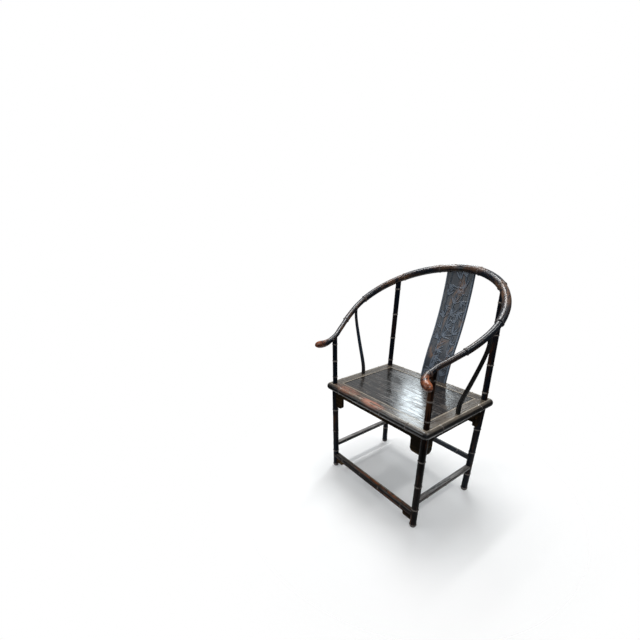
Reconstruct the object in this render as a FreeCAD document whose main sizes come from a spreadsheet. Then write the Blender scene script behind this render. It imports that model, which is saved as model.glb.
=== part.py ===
import FreeCAD, Part
import math
import os
import Sketcher
from FreeCAD import Placement, Rotation, Vector

# Horseshoe back armchair in the imitation bamboo style, a rigid joined chair of lacquered hardwood.
# Millimetres, +Z up. The sitter faces -Y, so the sitter's left is +X. The origin is on the floor,
# under the middle of the overall box.

doc = FreeCAD.newDocument("horseshoe_armchair")

# Driving dimensions
SIZES = {
    # Overall plan and heights
    "legs_across": 510,
    "legs_deep": 357,
    "seat_top": 467,
    "crest_height": 930,
    "crest_setback": 108,
    "arm_height": 683,
    "rail_across": 632,
    "rear_tops_across": 477,
    "front_tops_across": 507,
    "grip_reach": 82,
    "grip_drop": 35,
    "grip_tips_across": 594,
    # Legs and posts
    "leg_dia": 27,
    "front_post_dia": 21,
    "rear_post_dia": 23,
    "foot_ring_height": 9,
    "foot_inset": 1.5,
    "leg_node_first": 92,
    "leg_node_step": 118,
    "post_node_first": 30,
    "front_post_node_step": 76,
    "rear_post_node_step": 114,
    # Raised rings that imitate bamboo nodes
    "node_rise": 1.6,
    "node_reach": 5,
    "node_sink": 0.8,
    "node_worn_rise": 0.5,
    # Horseshoe rail, its nodes and joints placed along its centre line from the middle of the crest
    "crest_rail_dia": 30,
    "shoulder_rail_dia": 28.2,
    "arm_rail_dia": 24,
    "arm_end_dia": 21,
    "grip_dia": 30,
    "grip_length": 84,
    "crest_node": 93,
    "shoulder_node": 248,
    "elbow_node": 450,
    "arm_node": 598,
    "grip_node": 731,
    "crest_scarf": 169,
    "arm_scarf": 556,
    "crest_lap": 44,
    "arm_lap": 32,
    "scarf_pin_dia": 6,
    # Bowed supports under the arms
    "support_foot_dia": 17.5,
    "support_top_dia": 12.5,
    "support_setback": 181,
    "support_foot_across": 519,
    "support_bow_across": 635,
    "support_rail_place": 502,
    # Splat
    "splat_wide": 133,
    "splat_top_wide": 124,
    "splat_thick": 12,
    "splat_foot_setback": 13,
    "splat_top_setback": 104,
    # Seat frame and panel
    "frame_side_overhang": 30,
    "frame_end_overhang": 33,
    "frame_wide": 60,
    "frame_thick": 30,
    "frame_corner_round": 20,
    "frame_edge_round": 14.6,
    "frame_line_inset": 15.2,
    "frame_line_lip": 5.2,
    "frame_line_wide": 1.6,
    "frame_line_deep": 1,
    "front_node_inner": 61,
    "rear_node_inner": 95,
    "frame_node_outer": 190,
    "side_node": 120,
    "panel_down": 1,
    "panel_thick": 12,
    "panel_gap": 1.6,
    "panel_chamfer": 1,
    "tongue_thick": 6,
    "tongue_reach": 7,
    "frame_tenon_wide": 8,
    "frame_tenon_thick": 12,
    "frame_tenon_inset": 9,
    "frame_tenon_lift": 5,
    "frame_tenon_end": 14,
    "batten_wide": 32,
    "batten_thick": 12,
    "batten_spacing": 200,
    "batten_stub": 8,
    "dovetail_neck": 16,
    "dovetail_flare": 1.5,
    "dovetail_rise": 4,
    # Aprons
    "apron_thick": 12,
    "apron_strip": 28,
    "apron_drop": 86,
    "front_spandrel": 55,
    "side_spandrel": 42,
    "spandrel_round": 16,
    "spandrel_cusp_round": 8,
    # Stretchers, their heights at the top of the flat ones and the centre of the round one
    "footrest_top": 75,
    "footrest_wide": 27,
    "footrest_high": 25,
    "side_stretcher_top": 139,
    "side_stretcher_wide": 23,
    "side_stretcher_high": 22,
    "stretcher_edge_round": 4,
    "rear_stretcher_height": 175,
    "rear_stretcher_dia": 24,
    "stretcher_node_inner": 60,
    "stretcher_node_outer": 190,
    "side_stretcher_node": 119,
    "footrest_apron_thick": 10,
    "footrest_apron_strip": 8,
    "footrest_apron_drop": 25,
    "footrest_spandrel_round": 8,
    "footrest_cusp_round": 4,
    # Joinery
    "stretcher_tenon_dia": 12,
    "tenon_past_centre": 3,
    "post_tenon_dia": 10,
    "post_tenon_rise": 4,
    "support_tenon_dia": 7,
    "support_stub": 14,
    "splat_tongue_thick": 6,
    "splat_tongue_inset": 12,
    "splat_tongue_reach": 9,
    "fit_gap": 0.15,
    "overrun": 6,
}

# Places worked out from the driving dimensions
PLACES = {
    "rear_y": "(sizes.legs_deep + sizes.grip_reach - sizes.crest_setback - sizes.crest_rail_dia / 2) / 2",
    "front_y": "rear_y - sizes.legs_deep",
    "mid_y": "rear_y - sizes.legs_deep / 2",
    "leg_x": "sizes.legs_across / 2",
    "leg_clear_radius": "sizes.leg_dia / 2 + sizes.fit_gap",
    "frame_bottom": "sizes.seat_top - sizes.frame_thick",
    "frame_mid_z": "sizes.seat_top - sizes.frame_thick / 2",
    "frame_half_x": "leg_x + sizes.frame_side_overhang",
    "frame_half_y": "sizes.legs_deep / 2 + sizes.frame_end_overhang",
    "frame_long": "2 * frame_half_x",
    "frame_deep": "2 * frame_half_y",
    "rod_x": "frame_half_x - sizes.frame_thick / 2",
    "rod_y": "frame_half_y - sizes.frame_thick / 2",
    "opening_half_x": "frame_half_x - sizes.frame_wide",
    "opening_half_y": "frame_half_y - sizes.frame_wide",
    "panel_bottom": "sizes.seat_top - sizes.panel_down - sizes.panel_thick",
    "panel_long": "2 * (opening_half_x - sizes.panel_gap)",
    "panel_deep": "2 * (opening_half_y - sizes.panel_gap)",
    "tongue_half_x": "opening_half_x + sizes.tongue_reach",
    "tongue_half_y": "opening_half_y + sizes.tongue_reach",
    "tongue_bottom": "panel_bottom + (sizes.panel_thick - sizes.tongue_thick) / 2",
    "batten_x": "sizes.batten_spacing / 2",
    "apron_half_x": "leg_x",
    "apron_half_y": "sizes.legs_deep / 2",
    "front_spandrel_in": "apron_half_x - sizes.front_spandrel",
    "side_spandrel_in": "apron_half_y - sizes.side_spandrel",
    "footrest_bottom": "sizes.footrest_top - sizes.footrest_high",
    "footrest_mid_z": "sizes.footrest_top - sizes.footrest_high / 2",
    "side_stretcher_mid_z": "sizes.side_stretcher_top - sizes.side_stretcher_high / 2",
    "footrest_strip_low": "sizes.footrest_high / 2 + sizes.footrest_apron_strip",
    "footrest_spandrel_low": "sizes.footrest_high / 2 + sizes.footrest_apron_drop",
}


def fill_sheet(name, rows, prefix):
    sheet = doc.addObject("Spreadsheet::Sheet", name)
    for row, (alias, content) in enumerate(rows.items(), start=1):
        sheet.set(f"A{row}", alias)
        sheet.set(f"B{row}", f"{prefix}{content}")
        sheet.setAlias(f"B{row}", alias)
    doc.recompute()
    return sheet


sizes_sheet = fill_sheet("sizes", SIZES, "")
places_sheet = fill_sheet("places", PLACES, "=")


def size(alias):
    """A driving dimension as a number."""
    return float(sizes_sheet.get(alias))


def place(alias):
    """A worked out place as a number."""
    return float(places_sheet.get(alias))


# Small helpers
X, Y, Z = Vector(1, 0, 0), Vector(0, 1, 0), Vector(0, 0, 1)
SAME_SHARE = 1e-6


def bind(item, **expressions):
    """Tie properties to the sheets. Base_x and the like stand for the placement's coordinates."""
    for key, text in expressions.items():
        path = "Placement.Base." + key[-1] if key.startswith("Base_") else key
        item.setExpression(path, text)
    return item


def cylinder(name, dia, length, x="0", y="0", z="0", along=Z):
    item = doc.addObject("Part::Cylinder", name)
    item.Placement = Placement(Vector(), Rotation(Z, along))
    return bind(item, Radius=f"({dia}) / 2", Height=length, Base_x=x, Base_y=y, Base_z=z)


def box(name, length, width, height, x, y, z):
    """Block whose x and y are those of its middle, and z that of its underside."""
    item = doc.addObject("Part::Box", name)
    return bind(item, Length=length, Width=width, Height=height,
                Base_x=f"{x} - ({length}) / 2", Base_y=f"{y} - ({width}) / 2", Base_z=z)


def node_ring(name, dia, x, y, z, along):
    """One bamboo node: two cones that meet in a low ridge round a stem of the given diameter."""
    stem = f"(({dia}) / 2 - sizes.node_sink)"
    ridge = f"(({dia}) / 2 + sizes.node_rise)"
    halves = []
    for half, direction in (("a", along), ("b", -along)):
        cone = doc.addObject("Part::Cone", f"{name}_{half}")
        cone.Placement = Placement(Vector(), Rotation(Z, direction))
        bind(cone, Radius1=ridge, Radius2=stem, Height="sizes.node_reach", Base_x=x, Base_y=y, Base_z=z)
        halves.append(cone)
    return halves


def fuse(name, items):
    item = doc.addObject("Part::MultiFuse", name)
    item.Shapes = items
    return item


def cut(name, base, tools):
    item = doc.addObject("Part::Cut", name)
    item.Base = base
    item.Tool = tools[0] if len(tools) == 1 else fuse(name + "_tools", tools)
    return item


def common(name, base, tool):
    item = doc.addObject("Part::Common", name)
    item.Base = base
    item.Tool = tool
    return item


def feature(name, shape):
    item = doc.addObject("Part::Feature", name)
    item.Shape = shape
    return item


def largest(shape):
    """The main solid that is left when a cut parts off scraps."""
    return max(shape.Solids, key=lambda solid: solid.Volume)


def flipped(shape):
    return shape.mirror(Vector(), X)


NODES = []


def piece(label, item):
    """Name a finished sub-part; the label is also its file's name."""
    item.Label = label
    NODES.append(item)


def pair(label, item):
    """A left hand piece and its mirror image on the sitter's right."""
    piece(label + "_left", item)
    other = doc.addObject("Part::Mirroring", label + "_right")
    other.Source = item
    other.Normal = X
    piece(label + "_right", other)


# Profiles on a body's own planes
def lookup(key):
    if key == "0":
        return 0.0
    return size(key) if key in SIZES else place(key)


def body_at(name, x, y, z, turn=Rotation()):
    body = doc.addObject("PartDesign::Body", name)
    body.Placement = Placement(Vector(), turn)
    return bind(body, Base_x=x, Base_y=y, Base_z=z)


def plane(body, role):
    return [item for item in body.Origin.OriginFeatures if item.Role == role][0]


def outline(body, role, corners):
    """Closed sketch of straight sides, each corner a pair of names, held to the sketch's axes."""
    sketch = body.newObject("Sketcher::SketchObject", body.Name + "_outline")
    sketch.AttachmentSupport = (plane(body, role), [""])
    sketch.MapMode = "FlatFace"
    spots = [Vector(lookup(across), lookup(up)) for across, up in corners]
    count = len(corners)
    for n in range(count):
        sketch.addGeometry(Part.LineSegment(spots[n], spots[(n + 1) % count]), False)
    for n in range(count):
        sketch.addConstraint(Sketcher.Constraint("Coincident", n, 2, (n + 1) % count, 1))
    for n, corner in enumerate(corners):
        for kind, axis, key in zip(("DistanceX", "DistanceY"), (-2, -1), corner):
            if key == "0":
                sketch.addConstraint(Sketcher.Constraint("PointOnObject", n, 1, axis))
                continue
            index = sketch.addConstraint(Sketcher.Constraint(kind, -1, 1, n, 1, lookup(key)))
            sheet = "sizes" if key in SIZES else "places"
            sketch.setExpression(f"Constraints[{index}]", f"{sheet}.{key}")
    return sketch


def rectangle(body, role, across, up):
    return outline(body, role, [("0", "0"), (across, "0"), (across, up), ("0", up)])


def padded(body, sketch, length):
    pad = body.newObject("PartDesign::Pad", body.Name + "_pad")
    pad.Profile = sketch
    pad.SideType = "Symmetric"
    bind(pad, Length=length)
    doc.recompute()
    return pad


def dressed(kind, body, base, wanted, amount):
    """Fillet or chamfer on the edges that a test picks out."""
    item = body.newObject("PartDesign::" + kind, f"{base.Name}_{kind}")
    item.Base = (base, [f"Edge{n}" for n, edge in enumerate(base.Shape.Edges, start=1) if wanted(edge)])
    bind(item, **{"Radius" if kind == "Fillet" else "Size": amount})
    doc.recompute()
    return item


def near(value, target):
    return abs(value - target) < size("fit_gap")


# Centre lines: chains of tangent arcs through a few stations
class Bend:
    """One circular arc, from a point and a direction to an end point."""

    def __init__(self, start, tangent, end):
        chord = end - start
        along = chord.dot(tangent)
        normal = Vector(chord - tangent * along).normalize()
        self.radius = chord.dot(chord) / (2 * chord.dot(normal))
        self.length = 2 * self.radius * math.atan2(chord.dot(normal), along)
        self.axis = tangent.cross(normal)
        self.centre = start + normal * self.radius
        self.start = start
        self.tangent = tangent

    def at(self, travel):
        spin = Rotation(self.axis, math.degrees(travel / self.radius))
        return self.centre + spin.multVec(self.start - self.centre), spin.multVec(self.tangent)


def biarc(start, start_tangent, end, end_tangent):
    """Two arcs that leave and arrive along the given tangents."""
    chord = end - start
    both = start_tangent + end_tangent
    a = both.dot(both) - 4
    b = -2 * chord.dot(both)
    reach = (-b - math.sqrt(b * b - 4 * a * chord.dot(chord))) / (2 * a)
    joint = (start + start_tangent * reach + end - end_tangent * reach) / 2
    first = Bend(start, start_tangent, joint)
    return [first, Bend(joint, first.at(first.length)[1], end)]


def tangent_through(before, here, after):
    """Direction at the middle one of three points of a circle."""
    one, two = here - before, after - here
    return (one / one.dot(one) + two / two.dot(two)).normalize()


class Path:
    """A chain of arcs that is read by its length from the start."""

    def __init__(self, stations, first_tangent, last_tangent):
        tangents = [first_tangent]
        for before, here, after in zip(stations, stations[1:], stations[2:]):
            tangents.append(tangent_through(before, here, after))
        tangents.append(last_tangent)
        self.bends = []
        for n in range(len(stations) - 1):
            self.bends += biarc(stations[n], tangents[n], stations[n + 1], tangents[n + 1])
        self.length = sum(bend.length for bend in self.bends)

    def at(self, travel):
        """Point and direction at a length; past the end the path runs on straight."""
        for bend in self.bends:
            if travel <= bend.length:
                return bend.at(travel)
            travel -= bend.length
        spot, tangent = bend.at(bend.length)
        return spot + tangent * travel, tangent

    def travel_at(self, axis, target):
        """Length at which a coordinate that only falls along the path reaches the target."""
        low, high = 0.0, self.length
        while high - low > self.length * SAME_SHARE:
            middle = (low + high) / 2
            if getattr(self.at(middle)[0], axis) > target:
                low = middle
            else:
                high = middle
        return low

    def tube(self, start, end, radius):
        """Round bar along a stretch, one length of torus for each arc."""
        bars = []
        passed = 0.0
        for bend in self.bends:
            first = max(start - passed, 0)
            last = min(end - passed, bend.length)
            passed += bend.length
            if last - first < self.length * SAME_SHARE:
                continue
            disc = Part.Face(Part.Wire(Part.makeCircle(radius, *bend.at(first))))
            bars.append(disc.revolve(bend.centre, bend.axis, math.degrees((last - first) / bend.radius)))
        return bars[0].multiFuse(bars[1:]) if len(bars) > 1 else bars[0]

    def loft(self, travels, radii, seam):
        """Round bar of changing thickness: circles square to the path, all begun on the seam side."""
        wires = []
        for travel, radius in zip(travels, radii):
            spot, tangent = self.at(travel)
            circle = Part.makeCircle(radius)
            circle.Placement = Placement(spot, Rotation(seam, Vector(), tangent, "ZXY"))
            wires.append(Part.Wire(circle))
        return Part.makeLoft(wires, True)


# Stations of the rail. Each row has its shares of half the rail's width, of a run front to back and
# of a rise: behind the rear legs, then beside the seat, then ahead of the front legs.
BACK_CURVE_SHARES = ((0.354, 0.718, 0.968),)
SIDE_CURVE_SHARES = ((0.950, 0.243, 0.599), (1.0, 0.440, 0.434), (0.960, 0.655, 0.256),
                     (0.865, 0.864, 0.096))
GRIP_CURVE_SHARES = ((0.808, 0.629, 0.554),)
REAR_TOP_SHARE = 0.802
NOSE_SHARE = 0.95
TIP_TANGENT_SHARES = Vector(0.88, -0.32, -0.34)


def rail_stations():
    half = size("rail_across") / 2
    rise = size("crest_height") - size("arm_height")
    rear, front, arm = place("rear_y"), place("front_y"), size("arm_height")
    tip_run = size("grip_reach") - NOSE_SHARE * size("grip_dia") / 2
    spots = [Vector(0, rear + size("crest_setback"), size("crest_height"))]
    for across, back, up in BACK_CURVE_SHARES:
        spots.append(Vector(across * half, rear + back * size("crest_setback"), arm + up * rise))
    spots.append(Vector(size("rear_tops_across") / 2, rear, arm + REAR_TOP_SHARE * rise))
    for across, back, up in SIDE_CURVE_SHARES:
        spots.append(Vector(across * half, rear - back * size("legs_deep"), arm + up * rise))
    spots.append(Vector(size("front_tops_across") / 2, front, arm))
    for across, ahead, down in GRIP_CURVE_SHARES:
        spots.append(Vector(across * half, front - ahead * tip_run, arm - down * size("grip_drop")))
    spots.append(Vector(size("grip_tips_across") / 2, front - tip_run, arm - size("grip_drop")))
    return spots


rail = Path(rail_stations(), X, Vector(TIP_TANGENT_SHARES).normalize())
RAIL_NODES = {
    "crest_node": "crest_rail_dia",
    "shoulder_node": "crest_rail_dia",
    "elbow_node": "shoulder_rail_dia",
    "arm_node": "arm_rail_dia",
    "grip_node": "arm_end_dia",
}
rear_travel = rail.travel_at("y", place("rear_y"))
front_travel = rail.travel_at("z", size("arm_height"))
support_travel = size("support_rail_place")


def rail_radius(travel):
    """The rail thins at its nodes, and each step is hidden in the node's ring."""
    for node, dia in RAIL_NODES.items():
        if travel < size(node):
            return size(dia) / 2
    return size("arm_end_dia") / 2


def rail_ring(travel):
    reach = size("node_reach")
    spot, tangent = rail.at(travel)
    before, after = rail_radius(travel - reach), rail_radius(travel + reach)
    ridge = before + size("node_rise")
    sink = size("node_sink")
    first = Part.makeCone(before - sink, ridge, reach, spot - tangent * reach, tangent)
    return first.fuse(Part.makeCone(ridge, after - sink, reach, spot, tangent))


def rail_bar(start, end):
    """A stretch of the rail with its nodes."""
    nodes = [size(node) for node in RAIL_NODES if start < size(node) < end]
    marks = [start] + nodes + [end]
    parts = [rail.tube(low, high, rail_radius((low + high) / 2)) for low, high in zip(marks, marks[1:])]
    parts += [rail_ring(node) for node in nodes]
    return parts[0].multiFuse(parts[1:]) if len(parts) > 1 else parts[0]


def coping_bar(travel, reach):
    """The rail beside a post, fatter by the fit, to shape the end of the post."""
    return rail.tube(travel - reach, travel + reach, rail_radius(travel) + size("fit_gap"))


def joint_axes(travel):
    """Axes of a scarf joint: X along the rail, Z across its thickness."""
    spot, tangent = rail.at(travel)
    return Placement(spot, Rotation(tangent, Vector(), Z, "XZY"))


def lap_tool(travel, lap, turn):
    """Stepped block that leaves half a lap on the member that ends here."""
    wide = size("crest_rail_dia")
    beyond = Part.makeBox(lap, 2 * wide, 2 * wide, Vector(lap / 2, -wide, -wide))
    step = Part.makeBox(lap, 2 * wide, wide, Vector(-lap / 2, -wide, 0))
    tool = beyond.fuse(step)
    tool.Placement = joint_axes(travel) * Placement(Vector(), turn)
    return tool


def scarf_pin(travel, extra=0):
    """Round key through the middle of a lap, inside the rail's surface; longer as a hole."""
    radius = size("scarf_pin_dia") / 2
    half = math.sqrt(rail_radius(travel) ** 2 - radius ** 2) - size("fit_gap")
    half += size("overrun") if extra else 0
    pin = Part.makeCylinder(radius + extra, 2 * half, Vector(0, 0, -half))
    pin.Placement = joint_axes(travel)
    return pin


def rail_tenon(travel, foot, dia, extra=0):
    """Round tenon on the axis of a post, from below the rail to past its centre line."""
    top = rail.at(travel)[0]
    along = Vector(top - foot).normalize()
    below = rail_radius(travel) + size("overrun")
    length = below + size("post_tenon_rise") + extra
    return Part.makeCylinder(dia / 2 + extra, length, top - along * below, along)


# Bowed supports: up from the frame, out past the arm and back in under the rail
SUPPORT_CURVE_SHARES = ((0.09, 0.18), (0.63, 0.53), (1.0, 0.85))
SUPPORT_DRIFT_POWER = 3


def support_path():
    top = rail.at(support_travel)[0]
    foot_x = size("support_foot_across") / 2
    foot = Vector(foot_x, place("rear_y") - size("support_setback"), size("seat_top"))
    bow = size("support_bow_across") / 2 - foot_x
    spots = [foot]
    for out, up in SUPPORT_CURVE_SHARES:
        drift = (top.y - foot.y) * up ** SUPPORT_DRIFT_POWER
        spots.append(foot + Vector(out * bow, drift, up * (top.z - foot.z)))
    spots.append(top)
    return Path(spots, Z, Vector(top - spots[-2]).normalize())


support = support_path()
support_foot = support.at(0)[0]
under_arm = support.at(support.length - size("support_top_dia"))[0]


# Legs: turned from floor to frame, then thinner through the frame and up to the rail
def nodes_along(room, first, step):
    """Places of the nodes on a stem: one each step, for as far as there is room."""
    count = 1 + math.floor((room - first) / step)
    return [first + n * step for n in range(count)]


def leg(name, post_dia, y, travel, node_step, mortises):
    """The leg stands on the left; its upper part leans to the rail and is shaped to it."""
    bottom = "places.frame_bottom"
    x, y_text = "places.leg_x", f"places.{y}"
    parts = [
        cylinder(name + "_shaft", "sizes.leg_dia", f"{bottom} - sizes.foot_ring_height",
                 x, y_text, "sizes.foot_ring_height"),
        cylinder(name + "_neck", f"sizes.{post_dia}", "sizes.frame_thick + sizes.node_reach",
                 x, y_text, f"{bottom} - sizes.node_reach"),
    ]
    for half, base_radius, direction in (("a", "sizes.leg_dia / 2 - sizes.node_sink", Z),
                                         ("b", "sizes.leg_dia / 2 - sizes.foot_inset", -Z)):
        cone = doc.addObject("Part::Cone", f"{name}_foot_{half}")
        cone.Placement = Placement(Vector(), Rotation(Z, direction))
        bind(cone, Radius1="sizes.leg_dia / 2 + sizes.node_rise", Radius2=base_radius,
             Height="sizes.node_reach" if direction == Z else "sizes.foot_ring_height",
             Base_x=x, Base_y=y_text, Base_z="sizes.foot_ring_height")
        parts.append(cone)
    leg_room = place("frame_bottom") - size("node_reach")
    for n in range(len(nodes_along(leg_room, size("leg_node_first"), size("leg_node_step")))):
        height = f"sizes.leg_node_first + {n} * sizes.leg_node_step"
        parts += node_ring(f"{name}_node_{n}", "sizes.leg_dia", x, y_text, height, Z)
    foot = Vector(place("leg_x"), place(y), size("seat_top"))
    parts.append(feature(name + "_post", post_shape(foot, size(post_dia), travel, size(node_step))))
    return cut(name, fuse(name + "_blank", parts), mortises)


def post_shape(foot, dia, travel, node_step):
    top = rail.at(travel)[0]
    along = Vector(top - foot).normalize()
    radius = dia / 2
    stem, ridge = radius - size("node_sink"), radius + size("node_rise")
    reach = size("node_reach")
    length = (top - foot).Length
    post = Part.makeCylinder(radius, length, foot, along).fuse(Part.makeSphere(radius, foot))
    post = largest(post.cut(coping_bar(travel, dia)))
    extras = [rail_tenon(travel, foot, size("post_tenon_dia"))]
    room = length - rail_radius(travel) - reach
    for height in nodes_along(room, size("post_node_first"), node_step):
        spot = foot + along * height
        extras.append(Part.makeCone(ridge, stem, reach, spot, along))
        extras.append(Part.makeCone(ridge, stem, reach, spot, -along))
    return post.multiFuse(extras)


def mortise(name, y, z, along):
    """Round mortise for a stretcher's tenon, from just past the leg's centre outwards."""
    start = "(sizes.tenon_past_centre + sizes.fit_gap)"
    x = f"places.leg_x + {start}" if along == -X else "places.leg_x"
    y_text = f"places.{y}"
    if along == Y:
        y_text += f" - {start}"
    elif along == -Y:
        y_text += f" + {start}"
    return cylinder(name, "sizes.stretcher_tenon_dia + 2 * sizes.fit_gap",
                    f"{start} + sizes.leg_dia", x, y_text, z, along)


pair("front_leg", leg("front_leg", "front_post_dia", "front_y", front_travel, "front_post_node_step", [
    mortise("footrest_mortise", "front_y", "places.footrest_mid_z", -X),
    mortise("front_side_mortise", "front_y", "places.side_stretcher_mid_z", Y),
]))
pair("rear_leg", leg("rear_leg", "rear_post_dia", "rear_y", rear_travel, "rear_post_node_step", [
    mortise("rear_stretcher_mortise", "rear_y", "sizes.rear_stretcher_height", -X),
    mortise("rear_side_mortise", "rear_y", "places.side_stretcher_mid_z", -Y),
]))


# Horseshoe rail: five members, half lapped and keyed
def splat_top():
    """Height of the rail's underside over the splat."""
    return size("crest_height") - size("crest_rail_dia") / 2


def splat_tongue(y, low, high, extra=0):
    half = size("splat_wide") / 2 - size("splat_tongue_inset") + extra
    thick = size("splat_tongue_thick") + 2 * extra
    return Part.makeBox(2 * half, thick, high - low, Vector(-half, y - thick / 2, low))


def rail_sockets(start, end):
    """Sockets of the posts and supports that stand under a stretch of the rail."""
    gap = size("fit_gap")
    tools = []
    for travel, foot, dia in (
        (rear_travel, Vector(place("leg_x"), place("rear_y"), size("seat_top")), "post_tenon_dia"),
        (front_travel, Vector(place("leg_x"), place("front_y"), size("seat_top")), "post_tenon_dia"),
        (support_travel, under_arm, "support_tenon_dia"),
    ):
        if start < travel < end:
            tools.append(rail_tenon(travel, foot, size(dia), gap))
    return tools


def scarf_cuts(scarf, lap, turn):
    travel = size(scarf)
    return [lap_tool(travel, size(lap), turn), scarf_pin(travel, size("fit_gap"))]


SCARF_ENDS = Rotation()
SCARF_STARTS = Rotation(Y, 180)
foot_y = place("rear_y") + size("splat_foot_setback")
top_y = place("rear_y") + size("splat_top_setback")

crest_end = size("crest_scarf") + size("crest_lap")
half_crest = rail_bar(0, crest_end)
crest_cuts = scarf_cuts("crest_scarf", "crest_lap", SCARF_ENDS)
crest_cuts += [flipped(tool) for tool in crest_cuts]
splat_slot = splat_tongue(top_y, splat_top() - size("crest_rail_dia"),
                          splat_top() + size("splat_tongue_reach") + size("fit_gap"), size("fit_gap"))
crest = half_crest.fuse(flipped(half_crest)).cut(crest_cuts + [splat_slot])
piece("crest_rail_back", feature("crest_rail_back", crest))

shoulder_start = size("crest_scarf") - size("crest_lap")
shoulder_end = size("arm_scarf") + size("arm_lap")
shoulder_cuts = scarf_cuts("crest_scarf", "crest_lap", SCARF_STARTS)
shoulder_cuts += scarf_cuts("arm_scarf", "arm_lap", SCARF_ENDS)
shoulder_cuts += rail_sockets(shoulder_start, shoulder_end)
shoulder = rail_bar(shoulder_start, shoulder_end).cut(shoulder_cuts)
pair("crest_rail_shoulder", feature("crest_rail_shoulder", shoulder))

# Each arm swells past its last node into a grip that curls outward and ends in a dome
GRIP_PLACE_SHARES = (0.0, 0.2, 0.42, 0.64, 0.82, 0.93, 1.0)
GRIP_RADIUS_SHARES = (0.72, 0.80, 0.93, 1.0, 0.90, 0.66, 0.32)
grip_start = size("grip_node") + size("node_reach")
arm_start = size("arm_scarf") - size("arm_lap")
grip = rail.loft([size("grip_node") + share * size("grip_length") for share in GRIP_PLACE_SHARES],
                 [share * size("grip_dia") / 2 for share in GRIP_RADIUS_SHARES], Z)
grip_end = size("grip_node") + size("grip_length")
arm_cuts = scarf_cuts("arm_scarf", "arm_lap", SCARF_STARTS) + rail_sockets(arm_start, grip_end)
arm = rail_bar(arm_start, grip_start).fuse(grip).cut(arm_cuts)
pair("crest_rail_arm", feature("crest_rail_arm", arm))

pins = [scarf_pin(size("crest_scarf")), scarf_pin(size("arm_scarf"))]
piece("rail_scarf_pins", feature("rail_scarf_pins", Part.Compound(pins + [flipped(pin) for pin in pins])))

# Side supports
SUPPORT_SECTIONS = 6
support_shares = [n / (SUPPORT_SECTIONS - 1) for n in range(SUPPORT_SECTIONS)]
support_taper = (size("support_foot_dia") - size("support_top_dia")) / 2
stem = support.loft([share * support.length for share in support_shares],
                    [size("support_foot_dia") / 2 - share * support_taper for share in support_shares], Y)
stem = largest(stem.cut(coping_bar(support_travel, size("support_foot_dia"))))
stub = Part.makeCylinder(size("support_tenon_dia") / 2, size("support_stub"), support_foot, -Z)
tenon = rail_tenon(support_travel, under_arm, size("support_tenon_dia"))
pair("side_support", feature("side_support", stem.multiFuse([stub, tenon])))


# Splat: a board in a long S that narrows upwards, with a tongue into the frame and into the rail
SPLAT_TURN_SHARES = (0.396, 0.332)
SPLAT_FOOT_LEAN = 0.125


def splat_board():
    """The board, run on through the rail, which is cut out of it afterwards."""
    half, half_top, thick = size("splat_wide") / 2, size("splat_top_wide") / 2, size("splat_thick")
    low = Vector(-half, foot_y, size("seat_top"))
    high = Vector(-half, top_y, size("crest_height"))
    through = size("crest_rail_dia")
    back_share, up_share = SPLAT_TURN_SHARES
    turn = low + Vector(0, back_share * (high.y - low.y), up_share * (high.z - low.z))
    lean = Vector(0, SPLAT_FOOT_LEAN, 1).normalize()
    lower = Bend(low - lean * thick, lean, turn)
    upper = Bend(turn, lower.at(lower.length)[1], high)
    edges = []
    ends = []
    for offset in (-thick / 2, thick / 2):
        for bend, length in ((lower, lower.length), (upper, upper.length + through)):
            spots = []
            for share in (0, 0.5, 1):
                spot, tangent = bend.at(share * length)
                spots.append(spot + tangent.cross(X) * offset)
            edges.append(Part.Arc(*spots).toShape())
            ends.append(spots[0] if bend is lower else spots[-1])
    edges += [Part.makeLine(ends[0], ends[2]), Part.makeLine(ends[1], ends[3])]
    face = Part.Face(Part.Wire(Part.sortEdges(edges)[0]))
    front = low.y - thick
    corners = [Vector(-half, front, low.z), Vector(half, front, low.z),
               Vector(half_top, front, high.z + through), Vector(-half_top, front, high.z + through)]
    sides = Part.Face(Part.makePolygon(corners + corners[:1]))
    return face.extrude(X * 2 * half).common(sides.extrude(Y * (high.y - low.y + 2 * thick)))


def bar_over_splat(radius):
    """The rail over the splat, its middle arc in one piece and the next one mirrored."""
    bend = rail.bends[0]
    disc = Part.Face(Part.Wire(Part.makeCircle(radius, *bend.at(-bend.length))))
    middle = disc.revolve(bend.centre, bend.axis, math.degrees(2 * bend.length / bend.radius))
    beside = rail.tube(bend.length, bend.length + size("splat_wide"), radius)
    return [middle, beside, flipped(beside)]


splat = splat_board()
for bar in bar_over_splat(size("crest_rail_dia") / 2 + size("fit_gap")):
    splat = splat.cut(bar)
splat = largest(splat)
splat = splat.multiFuse([
    splat_tongue(foot_y, size("seat_top") - size("splat_tongue_reach"), size("seat_top") + size("overrun")),
    splat_tongue(top_y, splat_top() - size("overrun"), splat_top() + size("splat_tongue_reach")),
])
piece("back_splat", feature("back_splat", splat))

# Seat frame: one blank with a round outer edge, from which four mitred members are taken
frame_body = body_at("frame_blank", "-places.frame_half_x", "places.mid_y - places.frame_half_y",
                     "places.frame_mid_z")
frame_pad = padded(frame_body, rectangle(frame_body, "XY_Plane", "frame_long", "frame_deep"),
                   "sizes.frame_thick")
frame_corners = dressed("Fillet", frame_body, frame_pad,
                        lambda edge: near(edge.BoundBox.ZLength, size("frame_thick")),
                        "sizes.frame_corner_round")
dressed("Fillet", frame_body, frame_corners, lambda edge: near(edge.BoundBox.ZLength, 0),
        "sizes.frame_edge_round")


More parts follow.
